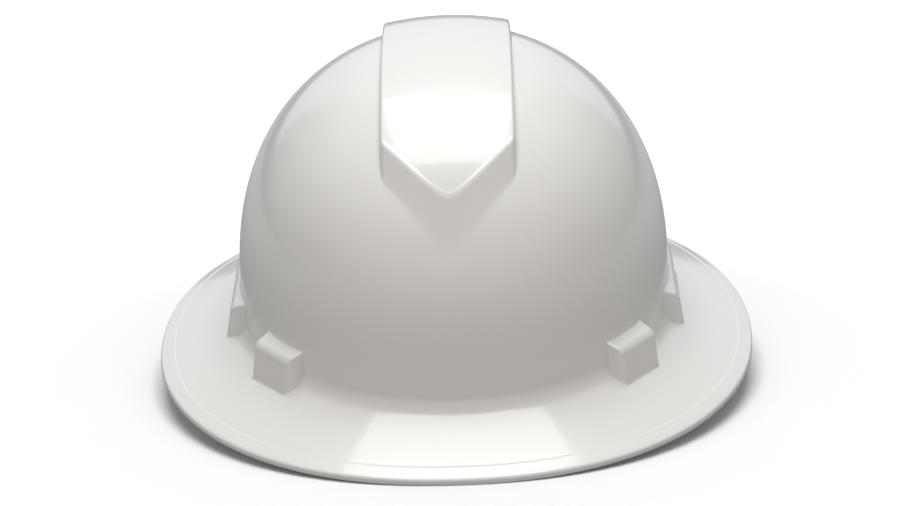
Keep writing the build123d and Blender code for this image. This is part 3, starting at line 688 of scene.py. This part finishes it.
def strap_section():
    """Outline of a strap's section, with rounded edges and ribs on both faces."""
    half_width, half_thickness = STRAP_WIDTH / 2 - STRAP_ROUND, STRAP_THICKNESS / 2
    section = []
    for side, face, start in ((1, 1, 0), (-1, 1, 90), (-1, -1, 180), (1, -1, 270)):
        for step in range(4):
            angle = math.radians(start + 30 * step)
            section.append((side * half_width + STRAP_ROUND * math.cos(angle),
                            face * (half_thickness - STRAP_ROUND) + STRAP_ROUND * math.sin(angle)))
        if side == face:
            for share in np.linspace(1, -1, STRAP_RIB_SAMPLES)[1:-1]:
                across = share * half_width
                rib = STRAP_RIB * (0.5 - 0.5 * math.cos(math.tau * across / STRAP_RIB_PITCH))
                section.append((across * side, face * (half_thickness - rib)))
    return section


def strap_half(bar_out, rise):
    """Plan distance and height of half a strap's centre line, from its flap's end to the crown."""
    across = bar_out - STRAP_LOOP
    points = []
    for share in np.linspace(1, 0, STRAP_FLAP_ROWS)[:-1]:
        over = STRAP_FLAP * share
        near = across * math.sqrt(1 - (over / rise) ** 2) + STRAP_FLAP_SPACE
        way = min(1.0, share / STRAP_FLAP_CLOSE)
        blend = way * way * (3 - 2 * way)
        points.append((near * blend + (bar_out + STRAP_LOOP) * (1 - blend), STRAP_BAR_LEVEL + over))
    for angle in np.linspace(0, -math.pi, STRAP_LOOP_ROWS)[:-1]:
        points.append((bar_out + STRAP_LOOP * math.cos(angle), STRAP_BAR_LEVEL + STRAP_LOOP * math.sin(angle)))
    for angle in np.linspace(0, math.pi / 2, STRAP_ARCH_ROWS):
        points.append((across * math.cos(angle), STRAP_BAR_LEVEL + rise * math.sin(angle)))
    return points


def strap_point(direction, out, height, across):
    """Point of a strap in space, from its distance and height in the strap's plane and its way across it."""
    return direction[0] * out - direction[1] * across, direction[1] * out + direction[0] * across, height


def strap_object(name, bar_x, bar_y, rise):
    """Woven strap over the crown with a sewn loop at each end."""
    bar_out = math.hypot(bar_x, bar_y)
    direction = (bar_x / bar_out, bar_y / bar_out)
    half = strap_half(bar_out, rise)
    path = np.array(half + [(-out, height) for out, height in half[-2::-1]])
    along = np.gradient(path, axis=0)
    along /= np.linalg.norm(along, axis=1, keepdims=True)
    section = strap_section()
    count = len(section)
    points = []
    for place, (right, up) in zip(path, along):
        for across, lift in section:
            points.append(strap_point(direction, place[0] - up * lift, place[1] + right * lift, across))
    faces = []
    for first in range(0, len(points) - count, count):
        for step in range(count):
            ahead = (step + 1) % count
            faces.append((first + step, first + ahead, first + count + ahead, first + count + step))
    faces.append(tuple(range(count))[::-1])
    faces.append(tuple(range(len(points) - count, len(points))))
    obj = mesh_object(name + "_webbing", points, faces, webbing)
    lengths = np.concatenate(([0], np.cumsum(np.linalg.norm(np.diff(path, axis=0), axis=1))))
    uv_map = obj.data.uv_layers.new(name="weave")
    for loop in obj.data.loops:
        row, step = divmod(loop.vertex_index, count)
        uv_map.data[loop.index].uv = (lengths[row], section[step][0])
    return obj


def strap_stitches(name, bar_x, bar_y, rise):
    """Boxed cross stitch that closes both loops of a strap, on both faces."""
    bar_out = math.hypot(bar_x, bar_y)
    low, high = STRAP_BAR_LEVEL + STRAP_FLAP * BOX_LOW, STRAP_BAR_LEVEL + STRAP_FLAP * BOX_HIGH
    wide = STRAP_WIDTH / 2 - BOX_MARGIN
    box = [(-wide, low), (wide, low), (wide, high), (-wide, high), (-wide, low), (wide, high)]
    cross = [(wide, low), (-wide, high)]

    def on_face(place, direction, face, offset):
        across, height = place
        drop = (height - STRAP_BAR_LEVEL) / rise
        out = (bar_out - STRAP_LOOP) * math.sqrt(1 - drop ** 2)
        lean = -(bar_out - STRAP_LOOP) * drop / rise / math.sqrt(1 - drop ** 2)
        move = face * offset * STRAP_THICKNESS / math.hypot(1, lean)
        return strap_point(direction, out + move, height - move * lean, across)

    stitches = []
    for turn in (1, -1):
        direction = (turn * bar_x / bar_out, turn * bar_y / bar_out)
        for ends in seam(box, STRAP_SEWING) + seam(cross, STRAP_SEWING):
            for face, offset in ((-1, BOX_INNER_FACE), (1, BOX_OUTER_FACE)):
                start, end = (on_face(place, direction, face, offset) for place in ends)
                stitches.append((start, end, (direction[0] * face, direction[1] * face, 0)))
    return stitch_object(name + "_stitches", stitches, STRAP_SEWING)


for strap_name, strap_form in STRAPS.items():
    strap = strap_object(strap_name, *strap_form)
    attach(strap, "shell")
    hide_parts(strap_name)
    sewn = strap_stitches(strap_name, *strap_form)
    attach(sewn, "shell")


# Pads

def pad_sizes(form):
    """Half length, half height and corner radius of a pad."""
    half_high = (form.top - form.bottom) / 2
    return form.radius * form.half_angle, half_high, min(PAD_CORNER, half_high * PAD_CORNER_SHARE)


def pad_place(form, along, level, depth):
    """Point of a pad in space, from its place on the pad's face and its depth from the band."""
    angle = along / form.radius
    reach = form.radius - depth
    return np.stack((reach * np.sin(angle), form.centre_y + form.facing * reach * np.cos(angle),
                     (form.top + form.bottom) / 2 + level), axis=-1)


def pad_thickness(form, along, level, edge):
    """Thickness over a pad's face: swollen foam, sewn channels, puckers at the seam and a rolled edge."""
    half_long = form.radius * form.half_angle
    swell = 1 - np.exp(-(np.maximum(edge - PAD_HEM, 0) / PAD_SHOULDER) ** PAD_SHOULDER_POWER)
    thick = PAD_EDGE + (PAD_THICKNESS - PAD_EDGE) * swell
    for place in form.channels:
        groove = np.exp(-((along - place * half_long) / PAD_CHANNEL_WIDTH) ** 2)
        thick -= (thick - PAD_EDGE) * PAD_CHANNEL_DEPTH * groove * swell
    pucker = np.sin(along * 1.9 + 0.6 * np.sin(level * 0.7)) * 0.5 + np.sin(along * 0.83 + 1.3) * 0.5
    thick += PAD_PUCKER * pucker * np.exp(-((edge - PAD_HEM - PAD_PUCKER_PLACE) / PAD_PUCKER_WIDTH) ** 2)
    roll = np.minimum(edge / PAD_ROLL, 1.0)
    back = PAD_BACK_GAP + PAD_BACK_ROLL * (1 - roll)
    return thick * (PAD_ROLL_SHARE + (1 - PAD_ROLL_SHARE) * np.sqrt(roll * (2 - roll))), back


def pad_cover(form):
    """Crowned foam pad in a sewn cover, flat where it lies on the band."""
    half_long, half_high, corner = pad_sizes(form)
    columns = max(PAD_MIN_COLUMNS, int(half_long * 2 / PAD_STEP)) + 1
    rows = max(PAD_MIN_ROWS, int(half_high * 2 / PAD_STEP)) + 1
    rise = np.linspace(-1, 1, rows)
    ease = np.sin(rise * math.pi / 2) * PAD_ROW_EASE + rise * (1 - PAD_ROW_EASE)
    shares, eased = np.meshgrid(np.linspace(-1, 1, columns), ease, indexing="ij")
    along = shares * half_long
    inside = np.maximum(np.abs(along) - (half_long - corner), 0) / corner
    high = half_high - corner * (1 - np.sqrt(np.maximum(1 - inside ** 2, 0)))
    level = eased * np.maximum(high, 0.02)
    edge = np.maximum(np.minimum(high - np.abs(level), half_long - np.abs(along)), 0)
    depths = pad_thickness(form, along, level, edge)
    points = np.concatenate([pad_place(form, along, level, depth).reshape(-1, 3) for depth in depths])

    size = columns * rows
    index = np.arange(size).reshape(columns, rows)
    quads = np.stack((index[:-1, :-1], index[1:, :-1], index[1:, 1:], index[:-1, 1:]), axis=-1).reshape(-1, 4)
    faces = quads.tolist() + (quads[:, ::-1] + size).tolist()
    border = np.concatenate((index[:, 0], index[-1, 1:], index[-2::-1, -1], index[0, -2:0:-1]))
    for first, last in zip(border, np.roll(border, -1)):
        faces.append((last, first, first + size, last + size))
    if form.facing > 0:
        faces = [face[::-1] for face in faces]
    return mesh_object(form.name + "_cover", points, faces, pad_cloth)


def pad_seam(form):
    """Stitches round a pad, inside its hem."""
    half_long, half_high, corner = pad_sizes(form)
    round_radius = corner - PAD_HEM * PAD_SEAM_PLACE
    outline = []
    for angle in np.linspace(0, math.tau, 721)[:-1]:
        across, up = math.cos(angle), math.sin(angle)
        outline.append((math.copysign(half_long - corner, across) + round_radius * across,
                        math.copysign(half_high - corner, up) + round_radius * up))
    outline = np.array(outline + outline[:1])
    lengths = np.concatenate(([0], np.cumsum(np.linalg.norm(np.diff(outline, axis=0), axis=1))))
    count = int(lengths[-1] / PAD_SEWING.pitch)

    def on_face(share):
        where = lengths[-1] * share % lengths[-1]
        along, level = (np.interp(where, lengths, outline[:, axis]) for axis in (0, 1))
        angle = along / form.radius
        return pad_place(form, along, level, PAD_EDGE), (-math.sin(angle), -form.facing * math.cos(angle), 0)

    stitches = []
    for step in range(count):
        start, _ = on_face((step + PAD_SEWING.gap) / count)
        end, square = on_face((step + 1 - PAD_SEWING.gap) / count)
        stitches.append((start, end, square))
    return stitch_object(form.name + "_seam", stitches, PAD_SEWING)


for pad_form in PADS:
    cover = pad_cover(pad_form)
    for piece in (cover, pad_seam(pad_form)):
        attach(piece, pad_form.body)
    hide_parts(pad_form.name)


# Floor, lights and camera

def floor_object():
    """Pale floor under the resting hat, open to views and lights from below."""
    material = principled("floor", (FLOOR_TONE,) * 3, FLOOR_ROUGHNESS)
    tree = material.node_tree
    shader = tree.nodes["Principled BSDF"]
    geometry = tree.nodes.new("ShaderNodeNewGeometry")
    path = tree.nodes.new("ShaderNodeLightPath")
    clear = tree.nodes.new("ShaderNodeBsdfTransparent")
    mix = tree.nodes.new("ShaderNodeMixShader")
    open_to = math_node(tree, "MAXIMUM", geometry.outputs["Backfacing"], path.outputs["Is Shadow Ray"])
    tree.links.new(open_to, mix.inputs["Fac"])
    tree.links.new(shader.outputs["BSDF"], mix.inputs[1])
    tree.links.new(clear.outputs["BSDF"], mix.inputs[2])
    tree.links.new(mix.outputs["Shader"], tree.nodes["Material Output"].inputs["Surface"])
    coordinates = tree.nodes.new("ShaderNodeTexCoord")
    distance = tree.nodes.new("ShaderNodeVectorMath")
    distance.operation = "LENGTH"
    tree.links.new(coordinates.outputs["Object"], distance.inputs[0])
    glow = map_range(tree, distance.outputs["Value"], *FLOOR_GLOW_FADE, high=FLOOR_GLOW)
    tree.links.new(glow, shader.inputs["Emission Strength"])
    tones = (("Base Color", FLOOR_BOUNCE, FLOOR_TONE), ("Emission Color", FLOOR_GLOW_BOUNCE, 1.0))
    for key, for_hat, for_camera in tones:
        tone = map_range(tree, path.outputs["Is Camera Ray"], 0.0, 1.0, for_hat, for_camera)
        tree.links.new(tone, shader.inputs[key])
    slope = REST_KNOB_Z / (REST_KNOB_Y - REST_FRONT)
    corners = ((-1, -1), (1, -1), (1, 1), (-1, 1))
    points = [(x * FLOOR_SIDE, y * FLOOR_SIDE, (y * FLOOR_SIDE - REST_FRONT) * slope) for x, y in corners]
    return mesh_object("floor", points, [(0, 1, 2, 3)], material)


floor_object()


def area_light(name, place, aim, size, radiance):
    """Rectangular soft light that the camera doesn't see, lengths in metres."""
    data = bpy.data.lights.new(name, "AREA")
    data.shape = "RECTANGLE"
    data.size, data.size_y = size
    data.energy = radiance * math.pi * size[0] * size[1]
    obj = bpy.data.objects.new(name, data)
    obj.location = place
    obj.rotation_euler = (Vector(aim) - Vector(place)).to_track_quat("-Z", "Y").to_euler()
    obj.visible_camera = False
    bpy.context.scene.collection.objects.link(obj)
    return obj


area_light("softbox", (0, SOFTBOX_BACK, SOFTBOX_HEIGHT), (0, SOFTBOX_BACK, 0), SOFTBOX_SIZE, SOFTBOX_LIGHT)
for light_name, depth, size, radiance, spread in UNDERLIGHTS:
    lamp = area_light(light_name, (0, 0, -depth), (0, 0, 0), (size, size), radiance)
    lamp.data.spread = math.radians(spread)
    lamp.visible_glossy = False


def room_tone(radiance):
    """Colour of a part of the room."""
    return tuple(radiance * tint for tint in ROOM_TINT)


def studio_world():
    """Dim room with a white sweep behind, black below the floor and white to the camera."""
    world = bpy.data.worlds.new("studio")
    world.use_nodes = True
    tree = world.node_tree
    coordinates = tree.nodes.new("ShaderNodeTexCoord")
    split = tree.nodes.new("ShaderNodeSeparateXYZ")
    tree.links.new(coordinates.outputs["Generated"], split.inputs["Vector"])
    across, back, up = (split.outputs[axis] for axis in "XYZ")

    front = map_range(tree, back, *FRONT_FADE, smooth=True)
    room = tone_mix(tree, front, room_tone(ROOM_LIGHT), room_tone(FRONT_LIGHT))
    upper = map_range(tree, up, *UPPER_FADE, smooth=True)
    room = tone_mix(tree, upper, room, room_tone(UPPER_LIGHT))
    side = math_node(tree, "DIVIDE", math_node(tree, "ABSOLUTE", across), SWEEP_SPREAD)
    on_sweep = map_range(tree, math_node(tree, "SUBTRACT", back, side), *SWEEP_EDGE, smooth=True)
    sweep = tone_mix(tree, map_range(tree, up, *SWEEP_TOP_FADE), (SWEEP_LIGHT,) * 3, (SWEEP_TOP_LIGHT,) * 3)
    tones = tone_mix(tree, on_sweep, room, sweep)
    tones = tone_mix(tree, map_range(tree, up, *UNDER_FADE), tones, (0.0, 0.0, 0.0))
    path = tree.nodes.new("ShaderNodeLightPath")
    tones = tone_mix(tree, path.outputs["Is Camera Ray"], tones, (1.0, 1.0, 1.0))
    tree.links.new(tones, tree.nodes["Background"].inputs["Color"])
    bpy.context.scene.world = world


studio_world()


def photo_camera():
    """Camera that stands where the photograph's stood."""
    data = bpy.data.cameras.new("photo_camera")
    data.sensor_fit = "HORIZONTAL"
    data.sensor_width = SENSOR
    data.lens = CAMERA_DISTANCE * PIXELS_PER_MM / PHOTO_WIDTH * SENSOR
    data.shift_x = -(TARGET_PIXEL[0] - PHOTO_WIDTH / 2) / PHOTO_WIDTH
    data.shift_y = (TARGET_PIXEL[1] - PHOTO_HEIGHT / 2) / PHOTO_WIDTH
    data.clip_end = CLIP_END
    turn = Matrix.Rotation(CAMERA_YAW, 3, "Z")
    forward = turn @ Vector((0, math.cos(CAMERA_ELEVATION), -math.sin(CAMERA_ELEVATION)))
    right = turn @ Vector((1, 0, 0))
    up = right.cross(forward)
    rolled_right = right * math.cos(CAMERA_ROLL) - up * math.sin(CAMERA_ROLL)
    rolled_up = right * math.sin(CAMERA_ROLL) + up * math.cos(CAMERA_ROLL)
    place = Vector((0, 0, TARGET_LEVEL)) - forward * CAMERA_DISTANCE
    matrix = Matrix((rolled_right, rolled_up, -forward)).transposed().to_4x4()
    matrix.translation = place * MM
    obj = bpy.data.objects.new("photo_camera", data)
    obj.matrix_world = matrix
    bpy.context.scene.collection.objects.link(obj)
    bpy.context.scene.camera = obj


photo_camera()
bpy.context.scene.view_settings.view_transform = "Standard"
